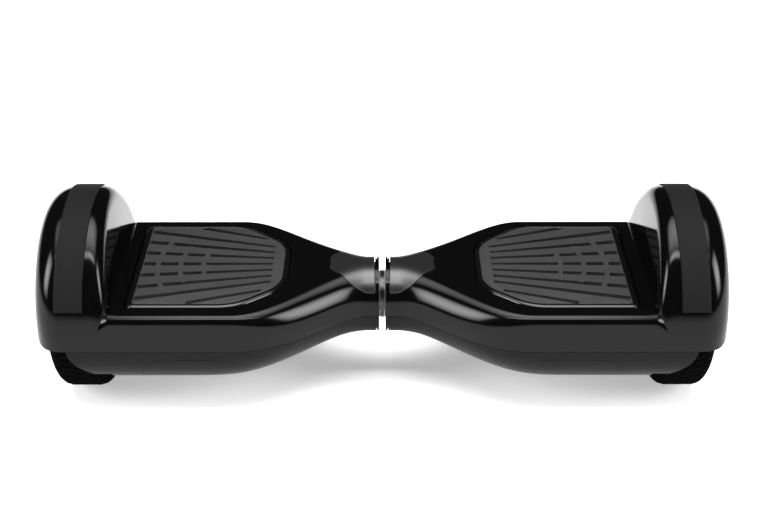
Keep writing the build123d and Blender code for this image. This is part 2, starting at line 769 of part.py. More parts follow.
with BuildPart() as tyre:
    low_x = WHEEL_X - TYRE_WIDTH / 2
    high_x = WHEEL_X + TYRE_WIDTH / 2
    with BuildSketch(Plane.XZ):
        with BuildLine():
            Polyline(
                (244.5, AXLE_Z + RIM_RADIUS),
                (243, AXLE_Z + RIM_RADIUS + 3),
                (low_x + 1.5, AXLE_Z + RIM_RADIUS + 3.6),
                (low_x, AXLE_Z + RIM_RADIUS + 8),
            )
            quarter(
                (low_x, AXLE_Z + RIM_RADIUS + 8),
                (low_x + 13, AXLE_Z + CROWN_RADIUS),
                (low_x, AXLE_Z + CROWN_RADIUS),
            )
            Line((low_x + 13, AXLE_Z + CROWN_RADIUS), (high_x - 13, AXLE_Z + CROWN_RADIUS))
            quarter(
                (high_x - 13, AXLE_Z + CROWN_RADIUS),
                (high_x, AXLE_Z + RIM_RADIUS + 8),
                (high_x, AXLE_Z + CROWN_RADIUS),
            )
            Polyline(
                (high_x, AXLE_Z + RIM_RADIUS + 8),
                (high_x - 1.5, AXLE_Z + RIM_RADIUS + 3.6),
                (277, AXLE_Z + RIM_RADIUS + 3),
                (275.5, AXLE_Z + RIM_RADIUS),
                (244.5, AXLE_Z + RIM_RADIUS),
            )
        make_face()
        with Locations((WHEEL_X - 7, AXLE_Z + CROWN_RADIUS), (WHEEL_X + 7, AXLE_Z + CROWN_RADIUS)):
            Rectangle(2, 3, mode=Mode.SUBTRACT)
    revolve(axis=Axis((0, 0, AXLE_Z), (1, 0, 0)))
    # The tread is a ring of flat pads, so that the board stands on two flat patches
    with BuildSketch(across(WHEEL_X - TYRE_WIDTH, 0, AXLE_Z)):
        RegularPolygon(WHEEL_RADIUS, TREAD_PADS, major_radius=False, rotation=180 / TREAD_PADS)
    extrude(amount=2 * TYRE_WIDTH, mode=Mode.INTERSECT)

# Electronics that both halves have

with BuildPart() as gyro_board:
    with BuildSketch(Plane.XY.offset(82)):
        with Locations((PLUNGER_X, 0)):
            RectangleRounded(44, 94, 2)
    extrude(amount=1.6)
    with BuildSketch(Plane.XY.offset(83.6)):
        with Locations((PLUNGER_X, 0)):
            Rectangle(9, 9)
        with Locations((PLUNGER_X - 12, 12), (PLUNGER_X - 12, -12)):
            Rectangle(5, 7)
        for side in SIDES:
            with Locations((PLUNGER_X - 6, side * PLUNGER_Y), (PLUNGER_X + 6, side * PLUNGER_Y)):
                Rectangle(4, 7)
    extrude(amount=3.2)

# Middle

with BuildPart() as pivot_tube:
    with BuildSketch(across(-TUBE_END_X + 8, 0, PIVOT_Z)):
        Circle(TUBE_RADIUS)
        Circle(TUBE_BORE, mode=Mode.SUBTRACT)
    extrude(amount=2 * TUBE_END_X - 8)
    with BuildSketch(across(BOSS_END_X + 0.4, 0, PIVOT_Z)):
        Circle(TUBE_RADIUS + 5)
        Circle(TUBE_RADIUS - 1, mode=Mode.SUBTRACT)
    extrude(amount=1.6, mode=Mode.SUBTRACT)
    with BuildSketch(Plane.XY.offset(PIVOT_Z)):
        with Locations((PIN_X, 0)):
            Circle(PIN_RADIUS)
    extrude(amount=FAR, mode=Mode.SUBTRACT)

with BuildPart() as pivot_circlip:
    with BuildSketch(across(BOSS_END_X + 0.4, 0, PIVOT_Z)):
        Circle(TUBE_RADIUS + 3.4)
        Circle(TUBE_RADIUS - 1, mode=Mode.SUBTRACT)
        with Locations((0, -TUBE_RADIUS)):
            Rectangle(8, 12, mode=Mode.SUBTRACT)
    extrude(amount=1.5)

with BuildPart() as limit_pin:
    with BuildSketch(Plane.XY.offset(PIVOT_Z + 8.5)):
        with Locations((PIN_X, 0)):
            Circle(PIN_RADIUS)
    extrude(amount=13.5)

with BuildPart() as tube_sleeve:
    with BuildSketch(across(-BOSS_END_X, 0, PIVOT_Z)):
        Circle(BUSH_RADIUS)
        Circle(TUBE_RADIUS, mode=Mode.SUBTRACT)
    extrude(amount=BOSS_END_X - BOSS_FACE_X)

with BuildPart() as tube_bushes:
    for start_x in (BOSS_FACE_X, BOSS_END_X - 18):
        with BuildSketch(across(start_x, 0, PIVOT_Z)):
            Circle(BUSH_RADIUS)
            Circle(TUBE_RADIUS + FIT, mode=Mode.SUBTRACT)
        extrude(amount=18)

with BuildPart() as gap_washer:
    with BuildSketch(across(0.1 - BOSS_FACE_X, 0, PIVOT_Z)):
        Circle(GAP_WASHER_RADIUS)
        Circle(TUBE_RADIUS + 0.01, mode=Mode.SUBTRACT)
    extrude(amount=2 * (BOSS_FACE_X - 0.1))

with BuildPart() as link_cable:
    with BuildSketch(across(-90, 0, PIVOT_Z)):
        Circle(3.5)
    extrude(amount=180)
    for start_x in (-94, 82):
        with BuildSketch(across(start_x, 0, PIVOT_Z)):
            RectangleRounded(12, 8, 1)
        extrude(amount=12)

# Battery and boards

with BuildPart() as battery_pack:
    with BuildSketch(Plane.XY.offset(BATTERY_LOW_Z)):
        with Locations((-(BATTERY_X[0] + BATTERY_X[1]) / 2, 0)):
            Rectangle(BATTERY_X[1] - BATTERY_X[0], 76)
    extrude(amount=BATTERY_TOP_Z - BATTERY_LOW_Z)
    fillet(battery_pack.edges().filter_by(Axis.X), 9)

with BuildPart() as main_board:
    with BuildSketch(Plane.XY.offset(60)):
        with Locations((142, 0)):
            RectangleRounded(100, 78, 3)
    extrude(amount=1.6)
    with BuildSketch(Plane.XY.offset(61.6)):
        with Locations((122, 0)):
            Rectangle(14, 14)
        with Locations((166, 0)):
            Rectangle(12, 58)
    extrude(amount=4)
    with BuildSketch(Plane.XY.offset(61.6)):
        with Locations((140, 22), (140, -22)):
            Circle(8)
        with Locations((108, 24), (108, -24)):
            Rectangle(8, 14)
    extrude(amount=14)

with BuildPart() as board_standoffs:
    with BuildSketch(Plane.XY.offset(61.6)):
        with Locations((142, 0)):
            with GridLocations(88, 68, 2, 2):
                RegularPolygon(3, 6)
    extrude(amount=FRAME_LOW_Z - 61.6)

# Ports on the back of the right half

def back_plane(x, y):
    """A plane that faces +Y, behind the board, with its own x along -X and its own y along Z."""
    return Plane(origin=(x, y, PORT_Z), x_dir=(-1, 0, 0), z_dir=(0, 1, 0))


with BuildPart() as right_top_cover:
    add(top_cover.part)
    with BuildSketch(back_plane(CHARGE_X, BODY_HALF_WIDTH - 20)):
        Circle(CHARGE_RADIUS)
    extrude(amount=40, mode=Mode.SUBTRACT)
    with BuildSketch(back_plane(BUTTON_X, BODY_HALF_WIDTH - 20)):
        Circle(BUTTON_RADIUS + 1.8)
    extrude(amount=40, mode=Mode.SUBTRACT)

with BuildPart() as charge_port:
    with BuildSketch(back_plane(CHARGE_X, 73)):
        Circle(CHARGE_RADIUS)
    extrude(amount=BODY_HALF_WIDTH - 73)
    with BuildSketch(back_plane(CHARGE_X, BODY_HALF_WIDTH)):
        Circle(CHARGE_RADIUS + 2.2)
        with Locations((4.9, 9.6), (-4.9, 9.6)):
            Rectangle(2.4, 4.4)
    extrude(amount=1.2)
    with BuildSketch(back_plane(CHARGE_X, BODY_HALF_WIDTH)):
        with Locations((4.9, CAP_HINGE_Z - PORT_Z), (-4.9, CAP_HINGE_Z - PORT_Z)):
            Rectangle(2.4, 3.4)
    extrude(amount=4.4)
    with BuildSketch(across(CHARGE_X - 6.1, CAP_HINGE_Y, CAP_HINGE_Z)):
        Circle(0.7)
    extrude(amount=12.2)
    with BuildSketch(back_plane(CHARGE_X, BODY_HALF_WIDTH - 10)):
        Circle(4)
        with PolarLocations(2, 3):
            Circle(0.6, mode=Mode.SUBTRACT)
    extrude(amount=40, mode=Mode.SUBTRACT)
    with BuildSketch(back_plane(CHARGE_X, BODY_HALF_WIDTH - 3)):
        Circle(4)
    extrude(amount=20, mode=Mode.SUBTRACT)

with BuildPart() as charge_cap:
    with BuildSketch(back_plane(CHARGE_X, BODY_HALF_WIDTH + 1.5)):
        Circle(CHARGE_RADIUS + 1.8)
        with Locations((0, 7)):
            Rectangle(6.6, 5)
    extrude(amount=2)
    with BuildSketch(across(CHARGE_X - 3.3, CAP_HINGE_Y, CAP_HINGE_Z)):
        Circle(1.7)
    extrude(amount=6.6)
    with BuildSketch(across(CHARGE_X - 3.3, CAP_HINGE_Y, CAP_HINGE_Z)):
        Circle(0.7 + FIT)
    extrude(amount=6.6, mode=Mode.SUBTRACT)
    with BuildSketch(back_plane(CHARGE_X, BODY_HALF_WIDTH - 0.5)):
        Circle(3.3)
    extrude(amount=2)

with BuildPart() as button_switch:
    with BuildSketch(back_plane(BUTTON_X, 76)):
        Circle(BUTTON_RADIUS + 1.8)
    extrude(amount=BODY_HALF_WIDTH - 76)
    with BuildSketch(back_plane(BUTTON_X, BODY_HALF_WIDTH)):
        Circle(BUTTON_RADIUS + 3)
    extrude(amount=0.9)
    with BuildSketch(back_plane(BUTTON_X, 84)):
        Circle(BUTTON_RADIUS + 0.3)
    extrude(amount=20, mode=Mode.SUBTRACT)

with BuildPart() as power_button:
    with BuildSketch(back_plane(BUTTON_X, 84 + BUTTON_TRAVEL + 0.2)):
        Circle(BUTTON_RADIUS)
    extrude(amount=BODY_HALF_WIDTH + 2.6 - 84 - BUTTON_TRAVEL - 0.2)
    fillet(power_button.faces().sort_by(Axis.Y)[-1].edges(), 0.8)

PAIRS = {
    "bottom_cover": bottom_cover,
    "cover_screws": cover_screws,
    "collar_trim": collar_trim,
    "led_lens": led_lens,
    "led_board": led_board,
    "fender_bumper": fender_bumper,
    "pedal_plate": pedal_plate,
    "foot_mat": foot_mat,
    "frame": frame,
    "frame_screws": frame_screws,
    "axle_clamp": axle_clamp,
    "clamp_bolts": clamp_bolts,
    "motor_axle": motor_axle,
    "motor_stator": motor_stator,
    "motor_windings": motor_windings,
    "motor_magnets": motor_magnets,
    "motor_rim": motor_rim,
    "hub_cover": hub_cover,
    "hub_bolts": hub_bolts,
    "wheel_bearings": wheel_bearings,
    "tyre": tyre,
    "gyro_board": gyro_board,
}
ONES = {
    "right_top_cover": right_top_cover,
    "pivot_tube": pivot_tube,
    "pivot_circlip": pivot_circlip,
    "limit_pin": limit_pin,
    "tube_sleeve": tube_sleeve,
    "tube_bushes": tube_bushes,
    "gap_washer": gap_washer,
    "link_cable": link_cable,
    "battery_pack": battery_pack,
    "main_board": main_board,
    "board_standoffs": board_standoffs,
    "charge_port": charge_port,
    "charge_cap": charge_cap,
    "power_button": power_button,
    "button_switch": button_switch,
}

save("left_top_cover", mirror(top_cover.part, about=Plane.YZ))
for name, piece in ONES.items():
    save(name, piece.part)
for name, piece in PAIRS.items():
    save(f"right_{name}", piece.part)
    save(f"left_{name}", mirror(piece.part, about=Plane.YZ))
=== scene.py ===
"""The looks of the self balancing board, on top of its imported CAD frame."""

import json
from math import acos, asin, atan2, ceil, cos, floor, hypot, pi, radians, sin, tan

import bmesh
import bpy
from mathutils import Matrix, Vector


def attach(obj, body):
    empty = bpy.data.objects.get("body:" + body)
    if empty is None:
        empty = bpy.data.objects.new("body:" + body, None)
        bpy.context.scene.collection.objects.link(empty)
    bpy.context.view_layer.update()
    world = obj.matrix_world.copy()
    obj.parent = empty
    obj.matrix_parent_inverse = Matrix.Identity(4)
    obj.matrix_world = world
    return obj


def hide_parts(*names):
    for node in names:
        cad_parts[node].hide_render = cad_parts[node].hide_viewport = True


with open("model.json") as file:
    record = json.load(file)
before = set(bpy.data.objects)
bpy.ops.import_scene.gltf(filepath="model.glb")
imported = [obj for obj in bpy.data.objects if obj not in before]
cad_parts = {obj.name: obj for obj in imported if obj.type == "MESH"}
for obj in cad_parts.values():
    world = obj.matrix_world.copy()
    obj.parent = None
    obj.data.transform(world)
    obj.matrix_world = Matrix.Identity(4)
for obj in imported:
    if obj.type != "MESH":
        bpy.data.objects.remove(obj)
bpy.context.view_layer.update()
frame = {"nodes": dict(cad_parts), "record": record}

MM = 0.001

# ---------------------------------------------------------------- sizes, in millimetres, as in the CAD

GAP = 5.6  # between the two necks
WALL = 2.6
SEAM_Z = 75.5  # where the top and the bottom cover meet
SEAM_GAP = 0.3
TOP_LOW_Z = SEAM_Z + SEAM_GAP / 2
BOTTOM_HIGH_Z = SEAM_Z - SEAM_GAP / 2
FAR_X = 400
FAR_Y = 200
FAR_Z = 200

NECK_RADIUS = 32.4
PIVOT_Z = 80.0
NECK_GROOVE = (4.6, 0.9, 1.0)  # its start, width and depth
BODY_HALF_WIDTH = 92.0
DECK_Z = 108.0
DECK_ROUND = 8.0
BOTTOM_Z = 34.0
BOTTOM_HALF_FLAT = 51.0
WIDEST_Z = 76.0
FLARE_END_X = 156.0
DIVE_END_X = 246.0
DIVE_ROUND = 26  # the deck's round where it ends inside the fender
HALF_LENGTH = 292.0
TIP_X = 265.0

WHEEL_X = 260.0
AXLE_Z = 84.5
AXLE_WAY = 11.5  # half width of the axle's way into the body
WHEEL_RADIUS = 84.5
TYRE_WIDTH = 48.0
RIM_RADIUS = 61.0

FENDER_RADIUS = 92.0
FENDER_INNER_X = 227.5
FENDER_LEAN = 6.0  # degrees
FENDER_OUTER_ROUND = 24.0
FENDER_INNER_ROUND = 12.0
FENDER_CORNER_ROUND = 10.0
WINDOW_RADIUS = 66.0
WELL_INNER_X = 230.0
WELL_OUTER_X = 289.0
WELL_RADIUS = 89.0
COVE = 5.0
COVE_HALF_LENGTH = 79

STRIP_HALF_WIDTH = 12.0
STRIP_RADIUS = 93.5
STRIP_LOW_ANGLE = 17.0  # degrees above the axle

PAD_OUTER_X = 217.0
PAD_HALF_WIDTH = 75.0
PAD_NOSE_X = 81.5
PAD_ROUNDS = (40, 42, 8)
PAD_TOP_Z = 110.0
PAD_GAP = 0.5
RIM_WIDTH = 4.7
RIM_SIDE_Z = 106.6  # where the rim's round top starts
MAT_SHIFT = 1.5
MAT_LOW_Z = 105.2
MAT_EDGE = 0.7
MAT_FLOOR_Z = PAD_TOP_Z - 3.2
TRAY_WALL = 2.4
TRAY_LOW_Z = 98.0
TRAY_FLOOR_Z = 100.4
PLATE_LOW_Z = 102.6
PLUNGER_X = 148.0
PLUNGER_Y = 38.0
PLUNGER_HOLE_RADIUS = 6.5
STEM_RADIUS = 5
TIP_RADIUS = 3

GROOVES = ((20.5, 10.8), (41, 21.5), (61, 32))  # y at the fender end and at the nose end
SIDE_GROOVE = (68.5, 47.5, 164.0, 104.0, 5.2, 3.2)  # y, y, x, x, wide and narrow
MAT_BARS = ((112, -50, 50), (92, -33, 33), (72, -27, 27))  # radius, then how far to each side
BAR_CENTRE_X = 85.0

LENS_X = (133.0, 204.0)
LENS_Z = (47.0, 67.0)
LENS_ROUNDS = (7, 1.5, 16, 1.5)
SCREWS = ((27, 14, 53), (61, 42, 70), (112, 68, 70), (219, 68, 70))  # x, y and the seat's height
SCREW_HOLE_RADIUS = 3.4
PORT_HOLES = ((198, 6.4), (169, 7.8))  # x and radius: the charging socket, then the power button
PORT_Z = 88


# ---------------------------------------------------------------- mesh helpers

def ease(x, start, end, power=1.0):
    """0 before start, 1 after end, and a smooth rise between them."""
    share = min(max((x - start) / (end - start), 0), 1) ** power
    return sin(pi * share / 2) ** 2


def between(low, high, share):
    return low + (high - low) * share


def mesh_object(name, points, faces):
    """A new object from points in millimetres and faces."""
    mesh = bpy.data.meshes.new(name)
    mesh.from_pydata([(x * MM, y * MM, z * MM) for x, y, z in points], [], faces)
    mesh.update()
    obj = bpy.data.objects.new(name, mesh)
    bpy.context.scene.collection.objects.link(obj)
    return obj


def face_outwards(obj):
    """Turns the faces of a closed object outwards."""
    bm = bmesh.new()
    bm.from_mesh(obj.data)
    bmesh.ops.recalc_face_normals(bm, faces=bm.faces)
    if bm.calc_volume(signed=True) < 0:
        bmesh.ops.reverse_faces(bm, faces=bm.faces)
    bm.to_mesh(obj.data)
    bm.free()
    return obj


def loft(name, rows):
    """A closed solid through rows of points: each row is a closed loop, and the end rows are capped."""
    count = len(rows[0])
    points = [p for row in rows for p in row]
    faces = []
    for i in range(len(rows) - 1):
        a, b = i * count, (i + 1) * count
        for j in range(count):
            k = (j + 1) % count
            faces.append((a + j, a + k, b + k, b + j))
    faces.append(tuple(reversed(range(count))))
    faces.append(tuple((len(rows) - 1) * count + j for j in range(count)))
    return face_outwards(mesh_object(name, points, faces))


def prism(name, outline, low, high, axis="Z"):
    """A closed prism: the outline's points are (x, y) for Z, (x, z) for Y and (y, z) for X."""
    def place(a, b, h):
        return {"Z": (a, b, h), "Y": (a, h, b), "X": (h, a, b)}[axis]
    return loft(name, [[place(a, b, h) for a, b in outline] for h in (low, high)])


def circle(cx, cy, radius, count):
    angles = [2 * pi * i / count for i in range(count)]
    return [(cx + radius * cos(a), cy + radius * sin(a)) for a in angles]


def rounded(corners, rounds, inset=0.0, step=4.0):
    """A polygon moved in by inset, with rounded corners, as points."""
    n = len(corners)
    ahead = corners[1:] + corners[:1]
    area = sum(a[0] * b[1] - b[0] * a[1] for a, b in zip(corners, ahead))
    turn = 1 if area > 0 else -1
    lines = []
    for i in range(n):
        a, b = Vector(corners[i]), Vector(corners[(i + 1) % n])
        d = (b - a).normalized()
        inward = Vector((-d.y, d.x)) * turn
        lines.append((a + inward * inset, d))
    moved = []
    for i in range(n):
        (p, d), (q, e) = lines[i - 1], lines[i]
        cross = d.x * e.y - d.y * e.x
        t = ((q - p).x * e.y - (q - p).y * e.x) / cross
        moved.append(p + d * t)
    points = []
    for i in range(n):
        p, before, after = moved[i], moved[i - 1], moved[(i + 1) % n]
        radius = max(rounds[i] - inset, 0.05)
        u, v = (before - p).normalized(), (after - p).normalized()
        angle = acos(max(-1, min(1, u.dot(v))))
        reach = radius / tan(angle / 2)
        centre = p + (u + v).normalized() * (radius / sin(angle / 2))
        start, end = p + u * reach, p + v * reach
        a0 = atan2(start.y - centre.y, start.x - centre.x)
        a1 = atan2(end.y - centre.y, end.x - centre.x)
        sweep = (a1 - a0 + pi) % (2 * pi) - pi
        pieces = max(2, int(ceil(abs(sweep) / radians(step))))
        for k in range(pieces + 1):
            a = a0 + sweep * k / pieces
            points.append((centre.x + radius * cos(a), centre.y + radius * sin(a)))
    return points


def boolean(obj, other, operation):
    """obj combined with other, which is removed."""
    bpy.context.view_layer.update()
    modifier = obj.modifiers.new("cut", "BOOLEAN")
    modifier.operation = operation
    modifier.solver = "MANIFOLD"
    modifier.object = other
    graph = bpy.context.evaluated_depsgraph_get()
    result = bpy.data.meshes.new_from_object(obj.evaluated_get(graph))
    obj.modifiers.clear()
    old = obj.data
    obj.data = result
    bpy.data.meshes.remove(old)
    used = other.data
    bpy.data.objects.remove(other)
    bpy.data.meshes.remove(used)


def join(obj, other):
    boolean(obj, other, "UNION")


def cut(obj, other):
    boolean(obj, other, "DIFFERENCE")


def mirrored(obj, name):
    """The same piece on the board's left half."""
    new = bpy.data.objects.new(name, obj.data.copy())
    bpy.context.scene.collection.objects.link(new)
    new.data.transform(Matrix.Diagonal((-1, 1, 1, 1)))
    new.data.flip_normals()
    return new


def clean(obj, angle=32.0, merge=0.00002):
    """Welds an object's close points, removes empty faces, and shades it smooth except across sharp edges."""
    bm = bmesh.new()
    bm.from_mesh(obj.data)
    bmesh.ops.remove_doubles(bm, verts=bm.verts, dist=merge)
    bmesh.ops.dissolve_degenerate(bm, edges=bm.edges, dist=merge)
    limit = radians(angle)
    for face in bm.faces:
        face.smooth = True
    for edge in bm.edges:
        edge.smooth = len(edge.link_faces) == 2 and edge.calc_face_angle(pi) < limit
    bm.to_mesh(obj.data)
    bm.free()
    return obj


# ---------------------------------------------------------------- the shells

def section(x, inset):
    """The body's cross-section at x as (half width, top round, top, low, low flat, widest).

    Each measure eases from the neck's value to the body's between two stations along x.
    """
    return (
        between(NECK_RADIUS, BODY_HALF_WIDTH, ease(x, 14, 126, 0.75)) - inset,
        between(NECK_RADIUS - 2, DECK_ROUND, ease(x, 44, 128, 1.2)) - inset,
        between(PIVOT_Z + NECK_RADIUS, DECK_Z, ease(x, 20, 114, 0.8)) - inset,
        between(PIVOT_Z - NECK_RADIUS, BOTTOM_Z, ease(x, 25, 155)) + inset,
        between(2, BOTTOM_HALF_FLAT, ease(x, 28, 138, 0.8)),
        between(PIVOT_Z - 1, WIDEST_Z, ease(x, 28, 138)),
    )


def section_loop(x, values):
    """One closed loop of points around the body at x."""
    width, top_round, top, low, low_flat, widest = values
    side = []
    for i in range(7):
        side.append((low_flat * i / 7, low))
    for i in range(28):
        a = pi / 2 * i / 28
        side.append((low_flat + (width - low_flat) * sin(a), widest - (widest - low) * cos(a)))
    for i in range(8):
        side.append((width, between(widest, top - top_round, i / 8)))
    for i in range(20):
        a = pi / 2 * i / 20
        side.append((width - top_round + top_round * cos(a), top - top_round + top_round * sin(a)))
    for i in range(13):
        side.append(((width - top_round) * (1 - i / 12), top))
    half = side + [(-y, z) for y, z in reversed(side[1:-1])]
    return [(x, y, z) for y, z in half]


def body_solid(name, inset, last_x, dive=False):
    """The body moved in by inset; with dive, its deck edge rounds off as it runs into the fender."""
    stations = [GAP / 2 + (FLARE_END_X - GAP / 2) * i / 96 for i in range(97)] + [FENDER_INNER_X]
    rows = [section_loop(x, section(x, inset)) for x in stations]
    if dive:
        for i in range(1, 9):
            x = between(FENDER_INNER_X, DIVE_END_X, i / 8)
            fixed = section(x, inset)
            rows.append(section_loop(x, (fixed[0], between(DECK_ROUND, DIVE_ROUND, i / 8)) + fixed[2:]))
    elif last_x > FENDER_INNER_X:
        rows.append(section_loop(last_x, section(last_x, inset)))
    return loft(name, rows)


def arch_solid(name, radius, inner_x, outer_x, low_z, outer_round, inner_round):
    """The fender's arch, or the wheel's well: its inner wall leans outwards above the deck."""
    stations = []
    for i in range(13):
        a = pi / 2 * i / 12
        stations.append((inner_x + inner_round * (1 - cos(a)), radius - inner_round * (1 - sin(a))))
    for i in range(1, 6):
        stations.append((between(inner_x + inner_round, outer_x - outer_round, i / 5), radius))
    for i in range(1, 19):
        a = pi / 2 * i / 18
        stations.append((outer_x - outer_round * (1 - sin(a)), radius - outer_round * (1 - cos(a))))
    rows = []
    slope = tan(radians(FENDER_LEAN))
    lowest_lean = -8 if inner_x < WELL_INNER_X else 0
    for x, r in stations:
        crown = [(r * cos(pi * i / 112), AXLE_Z + r * sin(pi * i / 112)) for i in range(113)]
        loop = [(r, low_z)] + crown + [(-r, low_z)]
        near = 1 - ease(x, inner_x + inner_round, inner_x + 34)
        rows.append([(x + max(z - DECK_Z, lowest_lean) * slope * near, y, z) for y, z in loop])
    return loft(name, rows)


def pad_outline(inset, shift=0.0):
    """The foot pad's outline seen from above; shift moves only its straight outer edge inwards."""
    outer_x = PAD_OUTER_X - shift
    half = [(PAD_NOSE_X, 39), (124, PAD_HALF_WIDTH), (outer_x, PAD_HALF_WIDTH)]
    return rounded(half + [(x, -y) for x, y in reversed(half)], PAD_ROUNDS + PAD_ROUNDS[::-1], inset, 3.0)


def collar_outline(inset):
    corners = [(6.2, 29), (27, 28.6), (46.5, 14), (46.5, -14), (27, -28.6), (6.2, -29)]
    return rounded(corners, (1, 12, 14, 14, 12, 1), inset, 4)


def lens_outline(inset):
    inner_x, outer_x = LENS_X
    low_z, high_z = LENS_Z
    corners = [(inner_x + 10, low_z), (inner_x, high_z), (outer_x - 4, high_z), (outer_x, low_z)]
    return rounded(corners, LENS_ROUNDS, inset, 5)


def neck_ring():
    """A cutter for the groove around the neck."""
    x, width, depth = NECK_GROOVE
    count = 96
    outer = circle(0, PIVOT_Z, NECK_RADIUS + 9, count)
    inner = circle(0, PIVOT_Z, NECK_RADIUS - depth, count)
    points = [(x, y, z) for y, z in outer] + [(x + width, y, z) for y, z in outer]
    points += [(x, y, z) for y, z in inner] + [(x + width, y, z) for y, z in inner]
    out_near, out_far, in_near, in_far = 0, count, 2 * count, 3 * count
    loops = (out_near, out_far, in_far, in_near, out_near)
    faces = []
    for j in range(count):
        k = (j + 1) % count
        for a, b in zip(loops, loops[1:]):
            faces.append((a + j, a + k, b + k, b + j))
    return face_outwards(mesh_object("groove", points, faces))


def box_solid(name, low, high):
    corners = [(low[0], low[1]), (high[0], low[1]), (high[0], high[1]), (low[0], high[1])]
    return prism(name, corners, low[2], high[2])


def cove_outline():
    """The small cove where the fender's inner wall meets the deck, as (x, z)."""
    points = []
    for i in range(13):
        a = pi / 2 * i / 12
        points.append((FENDER_INNER_X + 0.6 - COVE * (1 - sin(a)), DECK_Z - 0.02 + COVE * (1 - cos(a))))
    wall_x, low_z = FENDER_INNER_X + 2, DECK_Z - 2
    return points + [(wall_x, DECK_Z + COVE), (wall_x, low_z), (FENDER_INNER_X - COVE + 0.6, low_z)]


def fender_corner_outline():
    """What is cut away to round the fender's low outer corner, as (x, z)."""
    high = TOP_LOW_Z + FENDER_CORNER_ROUND
    points = [(HALF_LENGTH + 5, high), (HALF_LENGTH, high)]
    for i in range(1, 12):
        a = pi / 2 * i / 11
        x = HALF_LENGTH - FENDER_CORNER_ROUND * (1 - cos(a))
        points.append((x, TOP_LOW_Z + FENDER_CORNER_ROUND * (1 - sin(a))))
    low = TOP_LOW_Z - 5
    return points + [(HALF_LENGTH - FENDER_CORNER_ROUND, low), (HALF_LENGTH + 5, low)]


def build_top_cover():
    cover = body_solid("top_cover", 0, FENDER_INNER_X, dive=True)
    arch = arch_solid(
        "arch", FENDER_RADIUS, FENDER_INNER_X, HALF_LENGTH,
        SEAM_Z - 4, FENDER_OUTER_ROUND, FENDER_INNER_ROUND,
    )
    join(cover, arch)
    join(cover, prism("cove", cove_outline(), -COVE_HALF_LENGTH, COVE_HALF_LENGTH, "Y"))
    cut(cover, box_solid("below", (-20, -FAR_Y, -50), (FAR_X, FAR_Y, TOP_LOW_Z)))
    cut(cover, body_solid("inside", WALL, FENDER_INNER_X))
    well = arch_solid(
        "well", WELL_RADIUS, WELL_INNER_X, WELL_OUTER_X,
        SEAM_Z - 8, FENDER_OUTER_ROUND - 3, FENDER_INNER_ROUND - 3,
    )
    cut(cover, well)
    cut(cover, prism("window", circle(0, AXLE_Z, WINDOW_RADIUS, 128), WELL_OUTER_X - 4, FAR_X, "X"))
    cut(cover, prism("corner", fender_corner_outline(), -FAR_Y, FAR_Y, "Y"))
    low_x = FENDER_INNER_X - 3
    cut(cover, prism("axle_way", circle(0, AXLE_Z, AXLE_WAY, 48), low_x, FENDER_INNER_X + 4, "X"))
    cut(cover, box_solid("axle_slot", (low_x, -AXLE_WAY, 50), (FENDER_INNER_X + 3.5, AXLE_WAY, AXLE_Z)))
    cut(cover, neck_ring())
    cut(cover, prism("collar_hole", collar_outline(0), PIVOT_Z + 1, FAR_Z))
    join(cover, prism("tray", pad_outline(-PAD_GAP - TRAY_WALL), TRAY_LOW_Z, DECK_Z - 1.4))
    cut(cover, prism("tray_hole", pad_outline(-PAD_GAP), TRAY_FLOOR_Z, FAR_Z))
    for side in (1, -1):
        hole = circle(PLUNGER_X, side * PLUNGER_Y, PLUNGER_HOLE_RADIUS, 40)
        cut(cover, prism("plunger_hole", hole, TRAY_LOW_Z - 5, 120))
    return clean(cover)


def wheel_trim_outline():
    """What is cut off the bottom cover's outer end to free the wheel, as (x, z)."""
    ends = ((TIP_X, BOTTOM_HIGH_Z), (TIP_X - 1, 62), (246, 45), (WELL_INNER_X, 40))
    curve = []
    for i in range(33):
        t = i / 32
        weights = ((1 - t) ** 3, 3 * t * (1 - t) ** 2, 3 * t * t * (1 - t), t ** 3)
        x = sum(w * p[0] for w, p in zip(weights, ends))
        z = sum(w * p[1] for w, p in zip(weights, ends))
        curve.append((x, z))
    curve[0] = (TIP_X, BOTTOM_HIGH_Z + 3)
    return curve + [(WELL_INNER_X, 0), (TIP_X + 9, 0), (TIP_X + 9, BOTTOM_HIGH_Z + 3)]


def build_bottom_cover():
    cover = body_solid("bottom_cover", 0, TIP_X)
    cut(cover, box_solid("above", (-20, -FAR_Y, BOTTOM_HIGH_Z), (FAR_X, FAR_Y, 300)))
    cut(cover, body_solid("inside", WALL, FENDER_INNER_X))
    cut(cover, prism("well", circle(0, AXLE_Z, WELL_RADIUS, 256), WELL_INNER_X, FAR_X, "X"))
    cut(cover, prism("trim", wheel_trim_outline(), -FAR_Y, FAR_Y, "Y"))
    cut(cover, neck_ring())
    cut(cover, prism("lens_hole", lens_outline(0), -FAR_Y, 0, "Y"))
    for x, y, seat_z in SCREWS:
        for side in (1, -1):
            hole = circle(x, side * y, SCREW_HOLE_RADIUS, 32)
            cut(cover, prism("screw_hole", hole, 0, seat_z))
    return clean(cover)


def build_skin_piece(name, outline, low, high, axis):
    """A piece of the body's own skin inside an outline, such as the collar or the light."""
    skin = body_solid(name, 0, FENDER_INNER_X)
    cut(skin, body_solid("inside", WALL, FENDER_INNER_X + 6))
    boolean(skin, prism("keep", outline, low, high, axis), "INTERSECT")
    return clean(skin)


# ---------------------------------------------------------------- the foot pad

